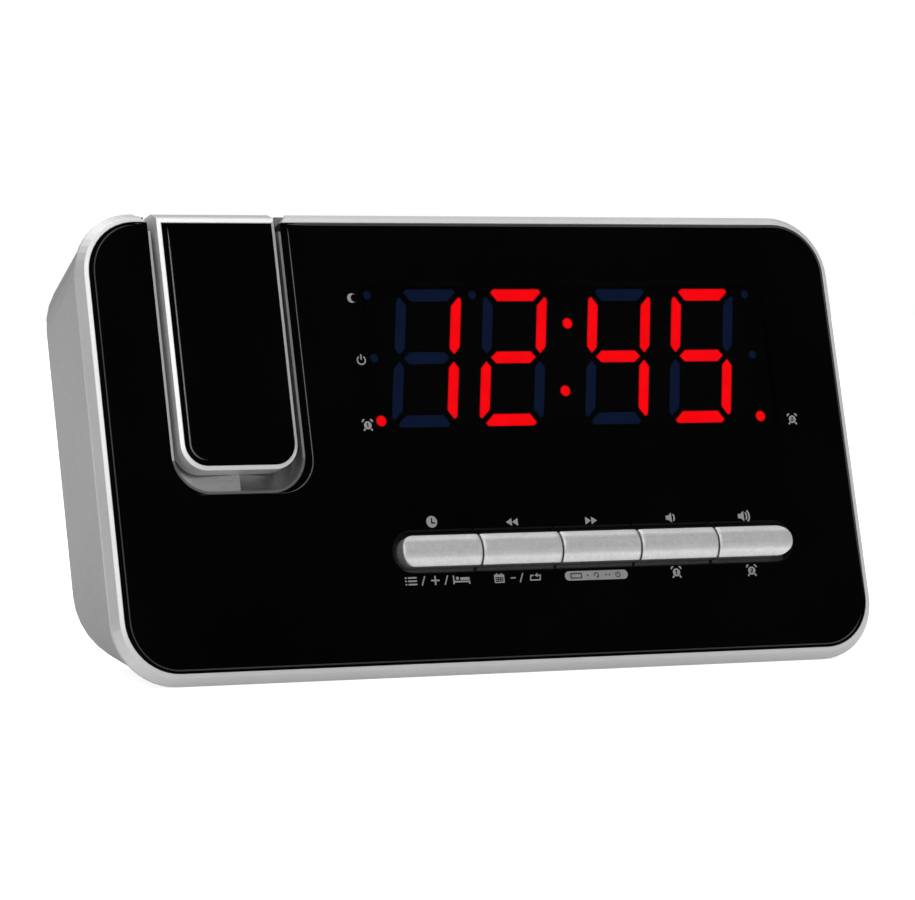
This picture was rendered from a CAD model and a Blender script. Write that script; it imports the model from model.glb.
import math
import bpy
import bmesh
from mathutils import Matrix, Vector


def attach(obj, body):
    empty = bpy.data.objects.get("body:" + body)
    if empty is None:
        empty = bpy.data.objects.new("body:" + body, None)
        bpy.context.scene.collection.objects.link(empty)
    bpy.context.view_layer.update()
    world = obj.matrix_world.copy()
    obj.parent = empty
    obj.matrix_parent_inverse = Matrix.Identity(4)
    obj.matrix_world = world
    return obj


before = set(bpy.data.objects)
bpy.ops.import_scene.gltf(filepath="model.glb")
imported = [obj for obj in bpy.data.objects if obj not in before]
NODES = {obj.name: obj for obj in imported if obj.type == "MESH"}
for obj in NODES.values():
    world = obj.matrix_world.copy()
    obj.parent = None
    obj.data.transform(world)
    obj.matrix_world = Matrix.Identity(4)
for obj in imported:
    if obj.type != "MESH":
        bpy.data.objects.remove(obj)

scene = bpy.context.scene
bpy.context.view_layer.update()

# ------------------------------------------------------------------ the face's own frame (mm): x along, v up, n into the body
LEAN = math.radians(15.2)
CL, SL = math.cos(LEAN), math.sin(LEAN)
Y0, Z0 = -23.6468952542664, 49.61990050677432
FACE = Matrix(((1, 0, 0, 0), (0, SL, -CL, Y0 / 1000), (0, CL, SL, Z0 / 1000), (0, 0, 0, 1)))  # local x, v, -n


def P(x, n, v):
    """A point of the face frame in world metres."""
    return Vector((x / 1000, (Y0 + n * CL + v * SL) / 1000, (Z0 + v * CL - n * SL) / 1000))


# ------------------------------------------------------------------ materials
def node(nt, kind, **sets):
    n = nt.nodes.new(kind)
    for k, v in sets.items():
        setattr(n, k, v)
    return n


def shell(name):
    m = bpy.data.materials.new(name)
    m.use_nodes = True
    nt = m.node_tree
    nt.nodes.clear()
    out = node(nt, "ShaderNodeOutputMaterial")
    b = node(nt, "ShaderNodeBsdfPrincipled")
    nt.links.new(b.outputs["BSDF"], out.inputs["Surface"])
    return m, nt, b


def noise(nt, scale, detail=3.0, rough=0.55, stretch=None):
    tc = node(nt, "ShaderNodeTexCoord")
    src = tc.outputs["Object"]
    if stretch:
        mp = node(nt, "ShaderNodeMapping")
        mp.inputs["Scale"].default_value = stretch
        nt.links.new(src, mp.inputs["Vector"])
        src = mp.outputs["Vector"]
    t = node(nt, "ShaderNodeTexNoise")
    t.inputs["Scale"].default_value = scale
    t.inputs["Detail"].default_value = detail
    t.inputs["Roughness"].default_value = rough
    nt.links.new(src, t.inputs["Vector"])
    return t.outputs["Fac"]


def ramp(nt, fac, stops):
    r = node(nt, "ShaderNodeValToRGB")
    e = r.color_ramp.elements
    while len(e) > 2:
        e.remove(e[-1])
    for i, (pos, col) in enumerate(stops):
        if i < 2:
            e[i].position, e[i].color = pos, (*col, 1)
        else:
            k = e.new(pos)
            k.color = (*col, 1)
    nt.links.new(fac, r.inputs["Fac"])
    return r.outputs["Color"]


def spread(nt, fac, lo, hi, a=0.25, b=0.75):
    r = node(nt, "ShaderNodeMapRange")
    r.inputs["From Min"].default_value = a
    r.inputs["From Max"].default_value = b
    r.inputs["To Min"].default_value = lo
    r.inputs["To Max"].default_value = hi
    nt.links.new(fac, r.inputs["Value"])
    return r.outputs["Result"]


def times(c, k):
    return tuple(min(1.0, x * k) for x in c)


def surface(name, col, rough=0.4, rvar=0.06, metal=0.0, spec=0.5, coat=0.0, coat_rough=0.04, var=0.06, patch=45.0,
            grain=1400.0, bump=0.05, dist=0.00005, bevel=0.00015, wear=0.0, stretch=None, sheen=0.0, flake=0.0, side=1.0, crown=None):
    """A moulded, painted or metal surface: broad tone patches, fine grain in roughness and bump, rounded and worn edges."""
    m, nt, b = shell(name)
    broad = noise(nt, patch, 2.0)
    fine = noise(nt, grain, 4.0, 0.6, stretch)
    c = ramp(nt, broad, [(0.28, times(col, 1 - var)), (0.72, times(col, 1 + var))])
    if flake:
        f = ramp(nt, noise(nt, grain * 2.6, 1.0, 0.4), [(0.30, (1 - flake,) * 3), (0.70, (1, 1, 1))])
        mul = node(nt, "ShaderNodeMix", data_type="RGBA", blend_type="MULTIPLY")
        mul.inputs[0].default_value = 1.0
        nt.links.new(c, mul.inputs[6])
        nt.links.new(f, mul.inputs[7])
        c = mul.outputs[2]
    if wear:
        geo = node(nt, "ShaderNodeNewGeometry")
        edge = spread(nt, geo.outputs["Pointiness"], 0.0, wear, 0.52, 0.62)
        mx = node(nt, "ShaderNodeMix", data_type="RGBA")
        nt.links.new(edge, mx.inputs[0])
        nt.links.new(c, mx.inputs[6])
        mx.inputs[7].default_value = (*times(col, 1.35), 1)
        c = mx.outputs[2]
    if side != 1.0:
        # a little less paint on the faces that look along X
        geo = node(nt, "ShaderNodeNewGeometry")
        sep = node(nt, "ShaderNodeSeparateXYZ")
        nt.links.new(geo.outputs["True Normal"], sep.inputs[0])
        mag = node(nt, "ShaderNodeMath", operation="ABSOLUTE")
        nt.links.new(sep.outputs["X"], mag.inputs[0])
        tone = spread(nt, mag.outputs[0], 1.0, side, 0.62, 0.99)
        sc = node(nt, "ShaderNodeVectorMath", operation="SCALE")
        nt.links.new(c, sc.inputs[0])
        nt.links.new(tone, sc.inputs["Scale"])
        c = sc.outputs[0]
    if crown:
        # tone of a crowned part by how far its surface leans up, as (lean, factor) pairs
        top = max(k for _, k in crown)
        geo = node(nt, "ShaderNodeNewGeometry")
        sep = node(nt, "ShaderNodeSeparateXYZ")
        nt.links.new(geo.outputs["Normal"], sep.inputs[0])
        lean = node(nt, "ShaderNodeMath", operation="ADD")
        nt.links.new(sep.outputs["Z"], lean.inputs[0])
        lean.inputs[1].default_value = 0.25
        tone = ramp(nt, lean.outputs[0], [(z + 0.25, (k / top,) * 3) for z, k in crown])
        mul = node(nt, "ShaderNodeMix", data_type="RGBA", blend_type="MULTIPLY")
        mul.inputs[0].default_value = 1.0
        nt.links.new(c, mul.inputs[6])
        nt.links.new(tone, mul.inputs[7])
        c = mul.outputs[2]
    nt.links.new(c, b.inputs["Base Color"])
    nt.links.new(spread(nt, fine, max(0.02, rough - rvar), min(1.0, rough + rvar)), b.inputs["Roughness"])
    b.inputs["Metallic"].default_value = metal
    b.inputs["Specular IOR Level"].default_value = spec
    b.inputs["Coat Weight"].default_value = coat
    b.inputs["Coat Roughness"].default_value = coat_rough
    b.inputs["Sheen Weight"].default_value = sheen
    bp = node(nt, "ShaderNodeBump")
    bp.inputs["Strength"].default_value = bump
    bp.inputs["Distance"].default_value = dist
    nt.links.new(fine, bp.inputs["Height"])
    if bevel:
        bv = node(nt, "ShaderNodeBevel", samples=4)
        bv.inputs["Radius"].default_value = bevel
        nt.links.new(bv.outputs["Normal"], bp.inputs["Normal"])
    nt.links.new(bp.outputs["Normal"], b.inputs["Normal"])
    return m


SILVER = (0.46, 0.46, 0.463)
M = {}
M["silver_plastic"] = surface("silver_paint", SILVER, rough=0.40, rvar=0.07, metal=0.55, var=0.03, grain=2600, bump=0.22,
                              dist=0.00004, bevel=0.00022, flake=0.10, wear=0.10, side=0.68)
M["silver_back"] = surface("silver_paint_textured", (0.148, 0.148, 0.150), rough=0.52, rvar=0.08, metal=0.20, var=0.03, grain=1800,
                           bump=0.30, dist=0.00006, bevel=0.0003, flake=0.12, wear=0.08)
CROWN = [(-0.24, 1.48), (-0.19, 1.40), (-0.13, 1.20), (-0.08, 1.05), (0.0, 0.95), (0.06, 0.99), (0.30, 1.02), (0.46, 0.91), (0.56, 0.75),
         (0.66, 0.80), (0.72, 1.0)]
M["silver_cap"] = surface("silver_key_cap", times((0.39, 0.39, 0.395), 1.48), rough=0.38, rvar=0.05, metal=0.32, var=0.05, patch=500, grain=800,
                          bump=0.14, dist=0.00003, bevel=0.0003, flake=0.13, crown=CROWN)
M["silver_gloss"] = surface("silver_lacquer", (0.47, 0.47, 0.473), rough=0.38, rvar=0.05, metal=0.60, var=0.03, grain=2200,
                            bump=0.10, dist=0.00003, bevel=0.0)
M["silver_lip_bright"] = surface("silver_recess_lip_bright", (0.34, 0.34, 0.342), rough=0.34, rvar=0.04, metal=0.35, var=0.03, grain=1800,
                                 bump=0.02, flake=0.03)
M["silver_wall"] = surface("silver_recess_wall", (0.80, 0.80, 0.803), rough=0.36, rvar=0.04, metal=0.30, var=0.03, grain=1800,
                           bump=0.02, flake=0.03)
M["silver_floor"] = surface("silver_recess_floor", (0.42, 0.42, 0.422), rough=0.30, rvar=0.04, metal=0.80, var=0.04, grain=1800,
                            bump=0.02, flake=0.03)
M["silver_lip"] = surface("silver_recess_lip", (0.17, 0.17, 0.172), rough=0.34, rvar=0.04, metal=0.40, var=0.03, grain=1800,
                          bump=0.02, dist=0.00003, bevel=0.0)
M["silver_recess"] = surface("silver_recess_lacquer", (0.23, 0.23, 0.232), rough=0.30, rvar=0.04, metal=0.80, var=0.03, grain=1800,
                             bump=0.02, dist=0.00003, bevel=0.0)
M["black_gloss"] = surface("black_gloss_panel", (0.0009, 0.0009, 0.0010), rough=0.045, rvar=0.02, spec=0.42, coat=0.0, var=0.25,
                           patch=22, grain=900, bump=0.012, dist=0.00002, bevel=0.0)
M["edge_line"] = surface("black_gloss_edge", (0.011, 0.011, 0.012), rough=0.26, rvar=0.03, spec=0.75, var=0.1, grain=1500, bump=0.02,
                         dist=0.00002, bevel=0.0)
M["edge_line_high"] = surface("black_gloss_edge_high", (0.030, 0.030, 0.031), rough=0.24, rvar=0.03, spec=1.0, var=0.1, grain=1500,
                         bump=0.02, flake=0.04)
M["edge_line_low"] = surface("black_gloss_edge_low", (0.007, 0.007, 0.008), rough=0.32, rvar=0.03, spec=0.42, var=0.1, grain=1500,
                             bump=0.02, dist=0.00002, bevel=0.0)
M["dark_plastic"] = surface("charcoal_plastic", (0.030, 0.030, 0.033), rough=0.42, rvar=0.10, var=0.14, grain=1500, bump=0.2,
                            dist=0.00005, bevel=0.0002, wear=0.25)
M["key_inner"] = surface("key_inner_plastic", (0.010, 0.010, 0.0105), rough=0.45, rvar=0.08, spec=0.3, var=0.12, grain=1500, bump=0.10)
M["key_body"] = surface("key_body_plastic", (0.095, 0.095, 0.097), rough=0.30, rvar=0.08, var=0.10, grain=1700, bump=0.12,
                        dist=0.00004, bevel=0.0002)
M["reflector"] = surface("reflector_black", (0.0016, 0.0016, 0.0022), rough=0.85, rvar=0.08, spec=0.1, var=0.2, grain=1200, bump=0.3)
M["board_green"] = surface("solder_mask", (0.010, 0.095, 0.038), rough=0.32, rvar=0.10, coat=0.3, var=0.22, patch=160, grain=700,
                           bump=0.35, dist=0.00008, stretch=(1, 0.2, 1))
M["component_black"] = surface("moulded_epoxy", (0.018, 0.018, 0.019), rough=0.55, rvar=0.12, var=0.2, grain=2200, bump=0.35,
                               dist=0.00005, wear=0.3)
M["white_plastic"] = surface("natural_nylon", (0.62, 0.60, 0.53), rough=0.48, rvar=0.1, var=0.05, grain=900, bump=0.2, sheen=0.1)
M["steel"] = surface("zinc_plated_steel", (0.56, 0.56, 0.55), rough=0.30, rvar=0.06, metal=1.0, var=0.05, patch=220, grain=2400,
                     bump=0.04, dist=0.00002, stretch=(1, 6, 1), wear=0.2)
M["black_steel"] = surface("black_oxide_steel", (0.035, 0.034, 0.034), rough=0.42, rvar=0.12, metal=0.8, var=0.2, patch=300,
                           grain=1400, bump=0.25, wear=0.5)
M["rubber_black"] = surface("black_rubber", (0.016, 0.016, 0.016), rough=0.78, rvar=0.12, spec=0.3, var=0.2, grain=1800, bump=0.5,
                            dist=0.00008, wear=0.4, sheen=0.15)
M["magnet_grey"] = surface("ferrite", (0.045, 0.044, 0.047), rough=0.62, rvar=0.12, metal=0.35, var=0.2, grain=1100, bump=0.5)
M["paper_cone"] = surface("pressed_paper", (0.022, 0.021, 0.020), rough=0.88, rvar=0.08, var=0.3, patch=180, grain=900, bump=0.7,
                          dist=0.00012, sheen=0.2)
M["fibre_washer"] = surface("vulcanised_fibre", (0.13, 0.115, 0.10), rough=0.6, rvar=0.1, var=0.2, grain=1500, bump=0.4)
M["red_lamp"] = surface("red_epoxy", (0.42, 0.02, 0.02), rough=0.12, rvar=0.04, coat=0.5, var=0.12, grain=600, bump=0.03)
M["icon_print"] = surface("grey_screen_print", (0.17, 0.17, 0.17), rough=0.62, rvar=0.08, spec=0.2, var=0.06, patch=600, grain=2600,
                          bump=0.25, dist=0.00002, bevel=0.0)
M["icon_ink"] = surface("dark_screen_print", (0.012, 0.012, 0.013), rough=0.5, rvar=0.08, spec=0.2, var=0.1, grain=2600, bump=0.2,
                        dist=0.00002, bevel=0.0)
M["plate"] = surface("satin_label_film", (0.43, 0.43, 0.44), rough=0.45, rvar=0.05, metal=0.2, var=0.03, grain=2400, bump=0.12,
                     bevel=0.0)


def glowing(name, base, glow, strength, rough=0.35, soft=0.0, rim=0.6):
    """A lit or unlit light guide; with soft, its glow falls to rim times its strength at the edges."""
    m, nt, b = shell(name)
    f = noise(nt, 900, 3.0)
    nt.links.new(ramp(nt, f, [(0.3, times(base, 0.85)), (0.7, base)]), b.inputs["Base Color"])
    nt.links.new(spread(nt, f, rough - 0.05, rough + 0.05), b.inputs["Roughness"])
    nt.links.new(ramp(nt, noise(nt, 260, 2.0), [(0.25, times(glow, 0.86)), (0.6, glow)]), b.inputs["Emission Color"])
    b.inputs["Emission Strength"].default_value = strength
    if soft:
        bv = node(nt, "ShaderNodeBevel", samples=6)
        bv.inputs["Radius"].default_value = soft
        geo = node(nt, "ShaderNodeNewGeometry")
        dot = node(nt, "ShaderNodeVectorMath", operation="DOT_PRODUCT")
        nt.links.new(bv.outputs["Normal"], dot.inputs[0])
        nt.links.new(geo.outputs["Normal"], dot.inputs[1])
        nt.links.new(spread(nt, dot.outputs["Value"], rim * strength, strength, 0.74, 0.995), b.inputs["Emission Strength"])
    return m


def clear(name, col, alpha, rough=0.03, spec=0.5, tint_var=0.1):
    m, nt, b = shell(name)
    f = noise(nt, 60, 3.0)
    nt.links.new(ramp(nt, f, [(0.3, times(col, 1 - tint_var)), (0.7, col)]), b.inputs["Base Color"])
    nt.links.new(spread(nt, noise(nt, 900), max(0.0, rough - 0.01), rough + 0.015), b.inputs["Roughness"])
    b.inputs["Alpha"].default_value = alpha
    b.inputs["Specular IOR Level"].default_value = spec
    return m


WIN_A = 0.45
PASS = (1 - WIN_A) ** 2
M["smoked_window"] = clear("smoked_acrylic", (0.0009, 0.0009, 0.0010), WIN_A, rough=0.045, spec=0.42)
M["lit_red"] = glowing("lit_segment", (0.25, 0.002, 0.003), (1.0, 0.0006, 0.0036), 0.93 / PASS, soft=0.0007, rim=0.55)
M["unlit_segment"] = glowing("unlit_segment", (0.004, 0.008, 0.02), (0.0016, 0.0060, 0.0245), 0.9 / PASS)
M["lens_clear"] = clear("clear_lens", (0.55, 0.62, 0.68), 0.30, rough=0.02, spec=0.8)
M["slide_glass"] = clear("crystal_slide", (0.06, 0.08, 0.08), 0.62, rough=0.06)

BY_NODE = {
    "front_bezel": "silver_plastic", "rear_housing": "silver_back", "battery_door": "silver_back", "snooze_bar": "silver_back",
    "arm_frame": "silver_gloss", "arm_cover": "silver_gloss", "arm_recess": "silver_recess",
    "front_panel": "black_gloss", "arm_insert": "black_gloss", "display_window": "smoked_window",
    "display_reflector": "reflector", "lit_segments": "lit_red", "dark_segments": "unlit_segment",
    "key_guide": "dark_plastic", "cell_holder": "dark_plastic", "focus_ring": "dark_plastic", "power_socket": "dark_plastic",
    "front_board": "board_green", "main_board": "board_green", "snooze_board": "board_green",
    "tact_switches": "component_black", "board_components": "component_black", "snooze_switch": "component_black",
    "board_standoffs": "white_plastic", "board_screws": "steel", "coin_cell": "steel", "hinge_pin": "steel", "arm_screws": "steel",
    "speaker_basket": "steel", "housing_screws": "black_steel", "rubber_feet": "rubber_black", "speaker_magnet": "magnet_grey",
    "speaker_cone": "paper_cone", "hinge_washers": "fibre_washer", "projector_lamp": "red_lamp", "projector_lens": "lens_clear",
    "time_slide": "slide_glass",
}
for k in ("clock", "back", "forward", "volume_down", "volume_up"):
    BY_NODE["key_" + k] = "key_body"
    BY_NODE["cap_" + k] = "silver_cap"
for name, ob in NODES.items():
    mat = M[BY_NODE[name]]
    if not ob.material_slots:
        ob.data.materials.append(mat)
    for s in ob.material_slots:
        s.material = mat
def face_nv(ob, f):
    """Depth n behind the face plane and height v along it (mm) of one polygon."""
    q = ob.matrix_world @ f.center
    y, z = q.y * 1000 - Y0, q.z * 1000 - Z0
    return q.x * 1000, y * CL - z * SL, y * SL + z * CL


# the recess: both sides of its flush lip and the wall and floor on its left are finished brighter than the rest
tub = NODES["arm_recess"]
for k in ("silver_lip", "silver_lip_bright", "silver_wall", "silver_floor"):
    tub.data.materials.append(M[k])
LIP, LIP_BRIGHT, WALL, FLOOR = range(len(tub.data.materials) - 4, len(tub.data.materials))
for f in tub.data.polygons:
    x, n, v = face_nv(tub, f)
    nx = f.normal.x
    if n < 0.6 and abs(nx) < 0.35 and v > -3.4:
        f.material_index = LIP_BRIGHT if x < -59 else LIP
    elif 0.6 <= n < 9 and nx > 0.7 and x < -59:
        f.material_index = WALL
    elif n > 1 and -0.35 < nx < -0.02:
        f.material_index = FLOOR
# the keys are black behind the panel
for k in ("clock", "back", "forward", "volume_down", "volume_up"):
    ob = NODES["key_" + k]
    ob.data.materials.append(M["key_inner"])
    for f in ob.data.polygons:
        x, n, v = face_nv(ob, f)
        if n > 1.2 and v > -24.2 and abs((ob.matrix_world.to_3x3() @ f.normal).dot(Vector((0, CL, -SL)))) > 0.7:
            f.material_index = len(ob.data.materials) - 1


# ------------------------------------------------------------------ printed symbols and small trim
def circle(cx, cy, r, k=40, a0=0.0, a1=360.0):
    full = abs(a1 - a0) >= 359.9
    steps = k if full else k + 1
    return [(cx + r * math.cos(math.radians(a0 + (a1 - a0) * i / k)), cy + r * math.sin(math.radians(a0 + (a1 - a0) * i / k)))
            for i in range(steps)]


def arc_band(cx, cy, r0, r1, a0, a1, k=20):
    return circle(cx, cy, r1, k, a0, a1) + circle(cx, cy, r0, k, a0, a1)[::-1]


def box2(x0, y0, x1, y1):
    return [(x0, y0), (x1, y0), (x1, y1), (x0, y1)]


def rbox(x0, y0, x1, y1, r, k=6):
    pts = []
    for cx, cy, a in ((x1 - r, y1 - r, 0), (x0 + r, y1 - r, 90), (x0 + r, y0 + r, 180), (x1 - r, y0 + r, 270)):
        pts += circle(cx, cy, r, k, a, a + 90)
    return pts


def stroke(x0, y0, x1, y1, w):
    dx, dy = x1 - x0, y1 - y0
    d = math.hypot(dx, dy)
    nx, ny = -dy / d * w / 2, dx / d * w / 2
    return [(x0 + nx, y0 + ny), (x1 + nx, y1 + ny), (x1 - nx, y1 - ny), (x0 - nx, y0 - ny)]


def print_shapes(name, groups, mat, n=0.0, proud=0.03, body="clock_body", frame_m=None):
    """Thin raised ink: each group is a list of loops, even-odd filled, in the face frame's x and v (mm)."""
    base = frame_m or FACE
    verts, faces = [], []
    for loops in groups:
        cu = bpy.data.curves.new(name + "_c", "CURVE")
        cu.dimensions = "2D"
        cu.fill_mode = "BOTH"
        cu.extrude = proud / 2000
        for lp in loops:
            sp = cu.splines.new("POLY")
            sp.points.add(len(lp) - 1)
            for i, (x, v) in enumerate(lp):
                sp.points[i].co = (x / 1000, v / 1000, 0, 1)
            sp.use_cyclic_u = True
        ob = bpy.data.objects.new(name + "_c", cu)
        bpy.context.scene.collection.objects.link(ob)
        bpy.context.view_layer.update()
        me = bpy.data.meshes.new_from_object(ob.evaluated_get(bpy.context.evaluated_depsgraph_get()))
        off = len(verts)
        for p in me.vertices:
            q = base @ Vector((p.co.x, p.co.y, p.co.z - n / 1000 + proud / 2000 * 0.98))
            verts.append(q)
        faces += [[off + i for i in f.vertices] for f in me.polygons]
        bpy.data.objects.remove(ob)
        bpy.data.curves.remove(cu)
        bpy.data.meshes.remove(me)
    me = bpy.data.meshes.new(name)
    me.from_pydata([tuple(v) for v in verts], [], faces)
    bm = bmesh.new()
    bm.from_mesh(me)
    bmesh.ops.remove_doubles(bm, verts=bm.verts, dist=1e-7)
    bmesh.ops.recalc_face_normals(bm, faces=bm.faces)
    bm.to_mesh(me)
    bm.free()
    me.materials.append(mat)
    ob = bpy.data.objects.new(name, me)
    bpy.context.scene.collection.objects.link(ob)
    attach(ob, body)
    return ob


def speaker(cx, cy, waves, s):
    x = cx - (1.15 if waves == 1 else 1.35) * s
    g = [[(x, cy - 0.42 * s), (x + 0.55 * s, cy - 0.42 * s), (x + 1.25 * s, cy - 1.0 * s), (x + 1.25 * s, cy + 1.0 * s),
          (x + 0.55 * s, cy + 0.42 * s), (x, cy + 0.42 * s)]]
    out = [g]
    for i in range(waves):
        r = (0.95 + 0.55 * i) * s
        out.append([arc_band(x + 0.9 * s, cy, r - 0.16 * s, r + 0.16 * s, -44, 44)])
    return out


def alarm(cx, cy, s, numeral):
    r = 0.36 * s
    hole = []
    if numeral == 1:
        hole = [[(cx - 0.05 * s, cy - 0.20 * s), (cx + 0.06 * s, cy - 0.20 * s), (cx + 0.06 * s, cy + 0.21 * s), (cx - 0.03 * s, cy + 0.21 * s),
                 (cx - 0.13 * s, cy + 0.12 * s), (cx - 0.13 * s, cy + 0.06 * s), (cx - 0.05 * s, cy + 0.10 * s)]]
    else:
        w = 0.10 * s
        hole = [[(cx - 0.14 * s, cy + 0.20 * s), (cx + 0.14 * s, cy + 0.20 * s), (cx + 0.14 * s, cy - 0.05 * s), (cx - 0.04 * s, cy - 0.05 * s),
                 (cx - 0.04 * s, cy - 0.11 * s), (cx + 0.14 * s, cy - 0.11 * s), (cx + 0.14 * s, cy - 0.20 * s), (cx - 0.14 * s, cy - 0.20 * s),
                 (cx - 0.14 * s, cy + 0.03 * s), (cx + 0.04 * s, cy + 0.03 * s), (cx + 0.04 * s, cy + 0.11 * s), (cx - 0.14 * s, cy + 0.11 * s)]]
    out = [[circle(cx, cy, r, 36)] + hole]
    for sgn in (-1, 1):
        a = 90 - sgn * 45
        bx, by = cx + sgn * 0.36 * s, cy + 0.38 * s
        t = math.radians(a)
        ux, uy = math.cos(t), math.sin(t)
        px, py = -uy, ux
        pts = []
        for i in range(13):
            b = math.radians(180 * i / 12)
            pts.append((bx + px * 0.19 * s * math.cos(b) + ux * 0.16 * s * math.sin(b), by + py * 0.19 * s * math.cos(b) + uy * 0.16 * s * math.sin(b)))
        out.append([pts])
        out.append([stroke(cx + sgn * 0.26 * s, cy - 0.30 * s, cx + sgn * 0.42 * s, cy - 0.47 * s, 0.15 * s)])
    return out


ICON = M["icon_print"]
clock_g = [[circle(-16.15, -17.72, 1.28, 40),
            [(-16.32, -18.15), (-15.38, -18.15), (-15.38, -17.83), (-16.0, -17.83), (-16.0, -16.89), (-16.32, -16.89)]]]
print_shapes("symbol_clock", clock_g, ICON)
cx, cy = 2.9, -18.23
print_shapes("symbol_back", [[[(cx - 1.45, cy), (cx - 0.05, cy + 0.85), (cx - 0.05, cy - 0.85)]],
                             [[(cx + 0.02, cy), (cx + 1.42, cy + 0.85), (cx + 1.42, cy - 0.85)]]], ICON)
cx, cy = 22.08, -18.38
print_shapes("symbol_forward", [[[(cx + 1.45, cy), (cx + 0.05, cy + 0.85), (cx + 0.05, cy - 0.85)]],
                                [[(cx - 0.02, cy), (cx - 1.42, cy + 0.85), (cx - 1.42, cy - 0.85)]]], ICON)
print_shapes("symbol_volume_down", speaker(41.83, -18.23, 1, 1.12), ICON)
print_shapes("symbol_volume_up", speaker(60.2, -18.32, 2, 1.18), ICON)
print_shapes("symbol_alarm_one", alarm(41.48, -30.42, 2.5, 1), ICON)
print_shapes("symbol_alarm_two", alarm(60.32, -30.59, 2.5, 2), ICON)
print_shapes("symbol_alarm_one_lamp", alarm(-28.55, 3.6, 2.45, 1), ICON)
print_shapes("symbol_alarm_two_lamp", alarm(75.68, 3.4, 2.4, 2), ICON)
cx, cy = -28.33, 17.88
print_shapes("symbol_power", [[arc_band(cx, cy, 0.78, 1.06, 125, 415, 30)], [box2(cx - 0.14, cy + 0.1, cx + 0.14, cy + 1.3)]], ICON)
# a crescent where the afternoon mark sits
cx, cy = -28.94, 31.59
moon = circle(cx, cy, 1.05, 26, 50, 310) + circle(cx + 0.62, cy, 0.86, 20, 289, 71)
print_shapes("symbol_moon", [[moon]], ICON)
# small generic symbols where the photograph's wording sits
y = -30.45
sym = []
for i in (-1, 0, 1):
    sym.append([rbox(-24.0, y + i * 0.72 - 0.17, -23.6, y + i * 0.72 + 0.17, 0.1)])
    sym.append([rbox(-23.3, y + i * 0.72 - 0.17, -21.2, y + i * 0.72 + 0.17, 0.12)])
sym.append([stroke(-20.1, y - 1.0, -19.3, y + 1.0, 0.28)])
sym.append([box2(-17.9, y - 0.17, -15.9, y + 0.17), ])
sym.append([box2(-17.07, y + 0.17, -16.73, y + 1.0)])
sym.append([box2(-17.07, y - 1.0, -16.73, y - 0.17)])
sym.append([stroke(-14.7, y - 1.0, -13.9, y + 1.0, 0.28)])
sym.append([[(-12.7, y + 0.95), (-12.4, y + 0.95), (-12.4, y - 0.25), (-8.7, y - 0.25), (-8.7, y - 0.95), (-9.0, y - 0.95), (-9.0, y - 0.6),
             (-12.4, y - 0.6), (-12.4, y - 0.95), (-12.7, y - 0.95)]])
sym.append([circle(-11.65, y + 0.3, 0.36, 20)])
sym.append([rbox(-11.0, y - 0.08, -8.75, y + 0.5, 0.25)])
print_shapes("symbols_memory_nap", sym, ICON)
cal = [[rbox(-2.9, y - 1.0, -0.5, y + 0.85, 0.2), rbox(-2.62, y - 0.75, -0.78, y + 0.28, 0.08)],
       [box2(-2.35, y + 0.85, -2.08, y + 1.12)], [box2(-1.32, y + 0.85, -1.05, y + 1.12)]]
for ix in range(3):
    for iy in range(2):
        cal.append([box2(-2.42 + ix * 0.55, y - 0.55 + iy * 0.42, -2.12 + ix * 0.55, y - 0.32 + iy * 0.42)])
cal.append([stroke(1.0, y, 2.2, y, 0.28)])
cal.append([stroke(3.2, y - 1.0, 4.0, y + 1.0, 0.28)])
cx, cy = 6.95, y
cal.append([[(cx - 1.4, cy - 0.75), (cx + 1.15, cy - 0.75), (cx + 1.4, cy + 0.55), (cx + 0.55, cy + 0.55), (cx + 0.55, cy + 0.95), (cx - 0.15, cy + 0.42),
             (cx + 0.55, cy - 0.05), (cx + 0.55, cy + 0.27), (cx + 1.05, cy + 0.27), (cx + 0.92, cy - 0.47), (cx - 1.07, cy - 0.47), (cx - 0.95, cy + 0.27),
             (cx - 0.4, cy + 0.27), (cx - 0.4, cy + 0.55), (cx - 1.2, cy + 0.55)]])
print_shapes("symbols_date_repeat", cal, ICON)
print_shapes("pill_display", [[rbox(14.08, y - 1.02, 29.4, y + 1.02, 1.01, 10)]], ICON)
pill = [[rbox(15.4, y - 0.62, 18.2, y + 0.62, 0.15), rbox(15.65, y - 0.38, 17.95, y + 0.38, 0.08)]]
pill.append([arc_band(21.7, y, 0.40, 0.62, -60, 200, 24)])
pill.append([[(21.95, y - 0.75), (22.35, y - 0.25), (21.75, y - 0.2)]])
pill.append([arc_band(27.0, y, 0.42, 0.64, 125, 415, 24)])
pill.append([box2(26.89, y + 0.05, 27.11, y + 0.75)])
for ix in (19.6, 24.1):
    pill.append([circle(ix, y, 0.2, 14)])
pill.append([circle(24.9, y, 0.2, 14)])
print_shapes("pill_symbols", pill, M["icon_ink"], n=-0.03, proud=0.02)

# fine raised edge lines where the black gloss parts turn down to their bevels
def u_path(xc, hw, low, r, top, k=14):
    """Right-hand side of a U from the top down, round its bottom right and left corners, and up its left side."""
    pts = [(xc + hw, top), (xc + hw, (top + low + r) / 2)]
    pts += circle(xc + hw - r, low + r, r, k, 0, -90)
    pts += [(xc - hw + r + (2 * hw - 2 * r) * t / 4, low) for t in (3, 2, 1)]
    pts += circle(xc - hw + r, low + r, r, k, -90, -180)
    pts += [(xc - hw, (top + low + r) / 2), (xc - hw, top)]
    return pts


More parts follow.
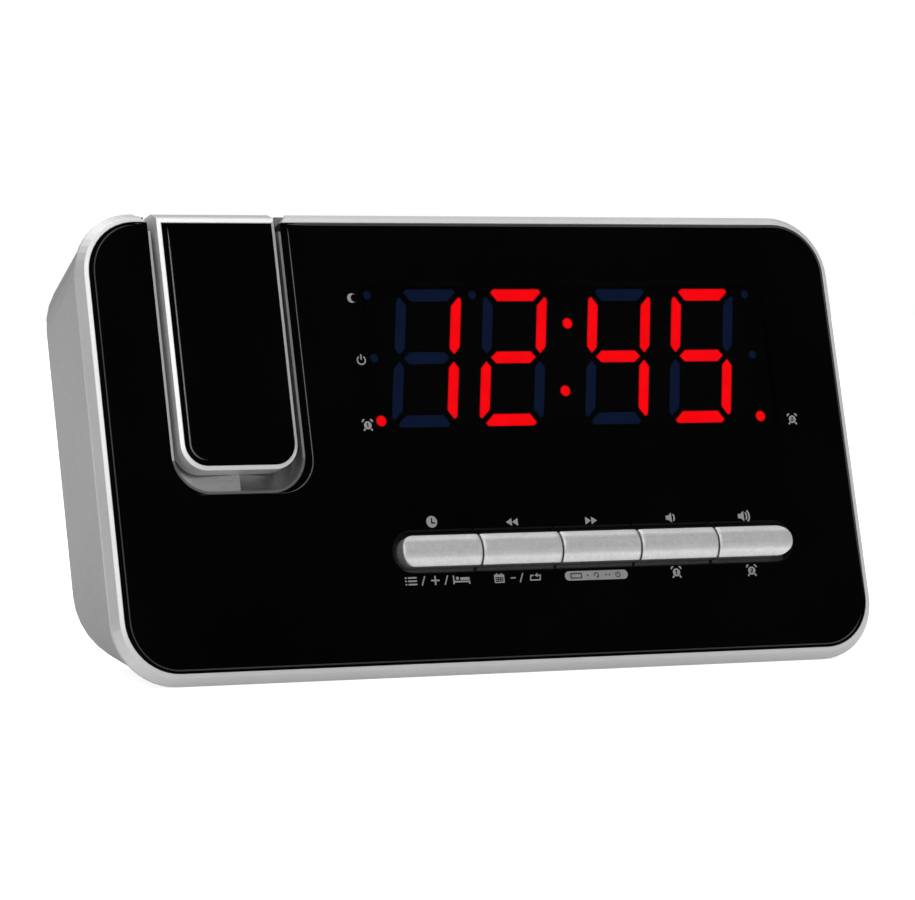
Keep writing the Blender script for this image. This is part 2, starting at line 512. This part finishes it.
def bead(name, pts, n, r, body, mat, taper=0.0):
    """A half-round line r high along x, v points on depth n (mm), its ends drawn down to nothing over the taper length."""
    dist = [0.0]
    for a, b in zip(pts, pts[1:]):
        dist.append(dist[-1] + math.hypot(b[0] - a[0], b[1] - a[1]))
    fine = []
    for (a, b, d0, d1) in zip(pts, pts[1:], dist, dist[1:]):
        m = max(1, int((d1 - d0) / 4))
        fine += [((a[0] + (b[0] - a[0]) * i / m, a[1] + (b[1] - a[1]) * i / m), d0 + (d1 - d0) * i / m) for i in range(m)]
    fine.append((pts[-1], dist[-1]))
    verts, faces, prof = [], [], [(180 - 30 * i) for i in range(7)]
    for i, (p, d) in enumerate(fine):
        q0, q1 = fine[max(0, i - 1)][0], fine[min(len(fine) - 1, i + 1)][0]
        tx, tv = q1[0] - q0[0], q1[1] - q0[1]
        ln = math.hypot(tx, tv)
        nx, nv = -tv / ln, tx / ln
        f = r if not taper else r * max(0.12, min(1.0, d / taper, (dist[-1] - d) / taper))
        for a in prof:
            c, h = f * math.cos(math.radians(a)), f * math.sin(math.radians(a))
            verts.append(tuple(P(p[0] + nx * c, n - h, p[1] + nv * c)))
        verts.append(tuple(P(p[0], n + 0.02, p[1])))
    w = len(prof) + 1
    for i in range(len(fine) - 1):
        for j in range(w):
            a, b = i * w + j, i * w + (j + 1) % w
            faces.append((a, b, b + w, a + w))
    faces.append(tuple(range(w))[::-1])
    faces.append(tuple(range((len(fine) - 1) * w, len(fine) * w)))
    me = bpy.data.meshes.new(name)
    me.from_pydata(verts, [], faces)
    bm = bmesh.new()
    bm.from_mesh(me)
    bmesh.ops.recalc_face_normals(bm, faces=bm.faces)
    bm.to_mesh(me)
    bm.free()
    for f in me.polygons:
        f.use_smooth = True
    me.materials.append(mat)
    ob = bpy.data.objects.new(name, me)
    scene.collection.objects.link(ob)
    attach(ob, body)
    return ob


PW, PH, FR, BV, SB = 88.5, 48.3, 11.4, 0.9, 1.62
corner = [(math.cos(math.radians(a)), math.sin(math.radians(a))) for a in range(180, 271, 6)]
edge = [(-PW + FR + (FR - 1.25) * c, PH - FR - (FR - 0.75) * w) for c, w in corner[1:][::-1]] + [(-PW + 1.25, v) for v in (PH - FR, 20, 0, -20)]
edge += [(-PW + FR + (FR - 1.25) * c, -PH + FR + (FR - 0.75) * w) for c, w in corner] + [(x, -PH + 0.75) for x in (-40, 0, 40)]
edge += [(PW - FR - (FR - BV) * c, -PH + FR + (FR - 0.75) * w) for c, w in corner[4:][::-1]]
bead("panel_edge_line", edge, 0.0, 0.15, "clock_body", M["edge_line_low"], taper=5)
side = [(PW - 0.30, v) for v in (-PH + FR, -20, 0, 20)]
side += [(PW - FR - (FR - 0.30) * c, PH - FR - (FR - 0.42) * w) for c, w in corner] + [(PW - FR - 12, PH - 0.42)]
bead("panel_right_line", side, 0.02, 0.24, "clock_body", M["edge_line_low"], taper=12)
for tag, xa, xb in (("left", -PW + FR, -75.6), ("right", -42.2, PW - FR)):
    top = [(xa + (xb - xa) * i / 4, PH - 0.42) for i in range(5)]
    bead("panel_top_line_" + tag, top, 0.02, 0.30, "clock_body", M["edge_line_low"], taper=1.5)
bead("slot_edge_line", u_path(-59.0, 15.25 + SB, -10.72, 7.7, PH - 1.2)[:17], 0.0, 0.14, "clock_body", M["edge_line"], taper=5)
bead("arm_edge_line", u_path(-58.95, 13.45 - 2.15, -5.65 + 2.15, 3.5, PH - 1.7)[20:], -1.2, 0.20, "projector_arm", M["edge_line_high"], taper=3)

# back: blank rating plate and the socket's polarity symbol
BACK = Matrix(((-1, 0, 0, 0), (0, SL, CL, (Y0 + 48.4 * CL) / 1000), (0, CL, -SL, (Z0 - 48.4 * SL) / 1000), (0, 0, 0, 1)))
print_shapes("rating_plate", [[rbox(27.0, -21.0, 61.0, -7.0, 1.0)]], M["plate"], n=0.0, proud=0.2, frame_m=BACK)
BACK2 = Matrix(((-1, 0, 0, 0), (0, SL, CL, (Y0 + 48.8 * CL) / 1000), (0, CL, -SL, (Z0 - 48.8 * SL) / 1000), (0, 0, 0, 1)))
g = []
cx, cy = -8.0, -15.5
for sx in (-4.2, 4.2):
    g.append([circle(cx + sx, cy, 1.3, 30), circle(cx + sx, cy, 1.08, 30)])
    g.append([box2(cx + sx - 0.65, cy - 0.1, cx + sx + 0.65, cy + 0.1)])
g.append([box2(cx + 4.1, cy + 0.1, cx + 4.3, cy + 0.65)])
g.append([box2(cx + 4.1, cy - 0.65, cx + 4.3, cy - 0.1)])
g.append([arc_band(cx, cy, 1.1, 1.32, -135, 135, 24)])
g.append([circle(cx, cy, 0.45, 20)])
g.append([box2(cx - 2.9, cy - 0.1, cx - 0.45, cy + 0.1)])
g.append([box2(cx + 1.32, cy - 0.1, cx + 2.9, cy + 0.1)])
print_shapes("symbol_polarity", g, M["icon_ink"], frame_m=BACK2)
g = [[[(46.0, 33.2), (44.4, 35.2), (47.6, 35.2)]]]
print_shapes("symbol_open_here", g, M["icon_ink"], frame_m=BACK2)

# ------------------------------------------------------------------ floor, light, camera
me = bpy.data.meshes.new("floor")
s = 6.0
me.from_pydata([(-s, -s, 0), (s, -s, 0), (s, s, 0), (-s, s, 0)], [], [(0, 1, 2, 3)])
floor = bpy.data.objects.new("floor", me)
scene.collection.objects.link(floor)
fm, nt, b = shell("floor_paper")
f = noise(nt, 3.0)
nt.links.new(ramp(nt, f, [(0.3, (0.38, 0.38, 0.38)), (0.7, (0.40, 0.40, 0.40))]), b.inputs["Base Color"])
b.inputs["Roughness"].default_value = 0.95
b.inputs["Specular IOR Level"].default_value = 0.0
b.inputs["Emission Color"].default_value = (1, 1, 1, 1)
geo = node(nt, "ShaderNodeNewGeometry")
far = node(nt, "ShaderNodeVectorMath", operation="LENGTH")
nt.links.new(geo.outputs["Position"], far.inputs[0])
seen = spread(nt, far.outputs["Value"], 0.88, 1.03, 0.10, 0.60)
cast = spread(nt, far.outputs["Value"], 0.50, 1.30, 0.07, 0.32)
lp = node(nt, "ShaderNodeLightPath")
pick = node(nt, "ShaderNodeMix", data_type="FLOAT")
nt.links.new(lp.outputs["Is Camera Ray"], pick.inputs[0])
nt.links.new(cast, pick.inputs[2])
nt.links.new(seen, pick.inputs[3])
nt.links.new(pick.outputs[0], b.inputs["Emission Strength"])
me.materials.append(fm)

world = bpy.data.worlds.new("studio")
scene.world = world
world.use_nodes = True
nt = world.node_tree
nt.nodes.clear()
out = node(nt, "ShaderNodeOutputWorld")
bg = node(nt, "ShaderNodeBackground")
bgc = node(nt, "ShaderNodeBackground")
bgc.inputs["Color"].default_value = (1, 1, 1, 1)
bgc.inputs["Strength"].default_value = 1.0
lp = node(nt, "ShaderNodeLightPath")
mix = node(nt, "ShaderNodeMixShader")
tc = node(nt, "ShaderNodeTexCoord")


def lobe(direction, lo, hi, a, b):
    """Grows from a to b as the sky direction comes closer to the given one."""
    d = Vector(direction).normalized()
    dp = node(nt, "ShaderNodeVectorMath", operation="DOT_PRODUCT")
    nt.links.new(tc.outputs["Generated"], dp.inputs[0])
    dp.inputs[1].default_value = d
    mr = node(nt, "ShaderNodeMapRange", interpolation_type="SMOOTHSTEP")
    mr.inputs["From Min"].default_value = lo
    mr.inputs["From Max"].default_value = hi
    mr.inputs["To Min"].default_value = a
    mr.inputs["To Max"].default_value = b
    nt.links.new(dp.outputs["Value"], mr.inputs["Value"])
    return mr.outputs["Result"]


def op(kind, a, b):
    m = node(nt, "ShaderNodeMath", operation=kind)
    for i, x in enumerate((a, b)):
        if isinstance(x, (int, float)):
            m.inputs[i].default_value = x
        else:
            nt.links.new(x, m.inputs[i])
    return m.outputs[0]


def tall_panel(azimuth, full, none, strength):
    """A tall light panel: strong within full degrees of the azimuth (0 towards -Y, positive to +X), gone at none degrees."""
    a = math.radians(azimuth)
    flat = node(nt, "ShaderNodeVectorMath", operation="MULTIPLY")
    nt.links.new(tc.outputs["Generated"], flat.inputs[0])
    flat.inputs[1].default_value = (1, 1, 0)
    unit = node(nt, "ShaderNodeVectorMath", operation="NORMALIZE")
    nt.links.new(flat.outputs[0], unit.inputs[0])
    dp = node(nt, "ShaderNodeVectorMath", operation="DOT_PRODUCT")
    nt.links.new(unit.outputs[0], dp.inputs[0])
    dp.inputs[1].default_value = (math.sin(a), -math.cos(a), 0)
    mr = node(nt, "ShaderNodeMapRange", interpolation_type="SMOOTHSTEP")
    mr.inputs["From Min"].default_value = math.cos(math.radians(none))
    mr.inputs["From Max"].default_value = math.cos(math.radians(full))
    mr.inputs["To Min"].default_value = 0.0
    mr.inputs["To Max"].default_value = strength
    nt.links.new(dp.outputs["Value"], mr.inputs["Value"])
    return op("MULTIPLY", mr.outputs["Result"], lobe((0, 0, 1), 0.80, 0.97, 1.0, 0.0))


DARK = (0.439, -0.795, 0.420)
sky = op("ADD", lobe((0, 0, 1), 0.42, 0.90, 0.30, 1.52), lobe((0.92, -0.28, 0.28), 0.90, 0.99, 0.0, 0.80))
sky = op("ADD", sky, lobe((0, 0, -1), -0.30, -0.02, 0.0, 0.60))
sky = op("ADD", sky, tall_panel(-40, 16, 34, 0.9))
sky = op("ADD", sky, lobe((-0.76, -0.55, 0.35), 0.92, 0.985, 0.0, 2.9))
sky = op("ADD", sky, lobe((-0.43, -0.25, 0.83), 0.86, 0.98, 0.0, 1.7))
sky = op("ADD", sky, lobe((-0.38, 0.40, 0.82), 0.84, 0.97, 0.0, 1.5))
sky = op("MULTIPLY", sky, lobe((-0.85, 0.50, 0.10), 0.42, 0.95, 1.0, 0.32))
sky = op("MULTIPLY", sky, lobe((0.439, -0.668, 0.601), 0.93, 0.985, 1.0, 0.30))
sky = op("MULTIPLY", sky, lobe(DARK, 0.90, 0.972, 1.0, 0.02))
nt.links.new(sky, bg.inputs["Strength"])
nt.links.new(lp.outputs["Is Camera Ray"], mix.inputs[0])
nt.links.new(bg.outputs[0], mix.inputs[1])
nt.links.new(bgc.outputs[0], mix.inputs[2])
nt.links.new(mix.outputs[0], out.inputs["Surface"])


def area(name, loc, target, size, power, size_y=None):
    l = bpy.data.lights.new(name, "AREA")
    l.shape = "RECTANGLE"
    l.size = size
    l.size_y = size_y or size
    l.energy = power
    ob = bpy.data.objects.new(name, l)
    ob.location = loc
    ob.rotation_euler = (Vector(target) - Vector(loc)).to_track_quat("-Z", "Y").to_euler()
    scene.collection.objects.link(ob)
    return ob


area("key_softbox", (-0.31, -1.20, 0.73), (0, 0, 0.05), 0.36, 2.6, 0.40)
area("top_softbox", (0.0, 0.05, 1.30), (0, 0, 0.05), 0.80, 6.0)

cam = bpy.data.cameras.new("camera")
cam.sensor_fit = "HORIZONTAL"
cam.sensor_width = 36.0
cam.lens = 4506.3 / 915 * 36
cam.clip_start = 0.01
cam.clip_end = 50
co = bpy.data.objects.new("camera", cam)
right = Vector((0.8984280327, -0.4391206755, 0.00031999968))
up = Vector((0.0173671432, 0.0362608051, 0.9991914413))
back = Vector((-0.4387772241, -0.8976960434, 0.0402039955))
co.matrix_world = Matrix(((right.x, up.x, back.x, -0.4320132326), (right.y, up.y, back.y, -0.891607144),
                          (right.z, up.z, back.z, 0.0863830639), (0, 0, 0, 1)))
scene.collection.objects.link(co)
scene.camera = co

scene.view_settings.view_transform = "Standard"
scene.view_settings.look = "None"
scene.view_settings.exposure = 0.0
scene.view_settings.gamma = 1.0
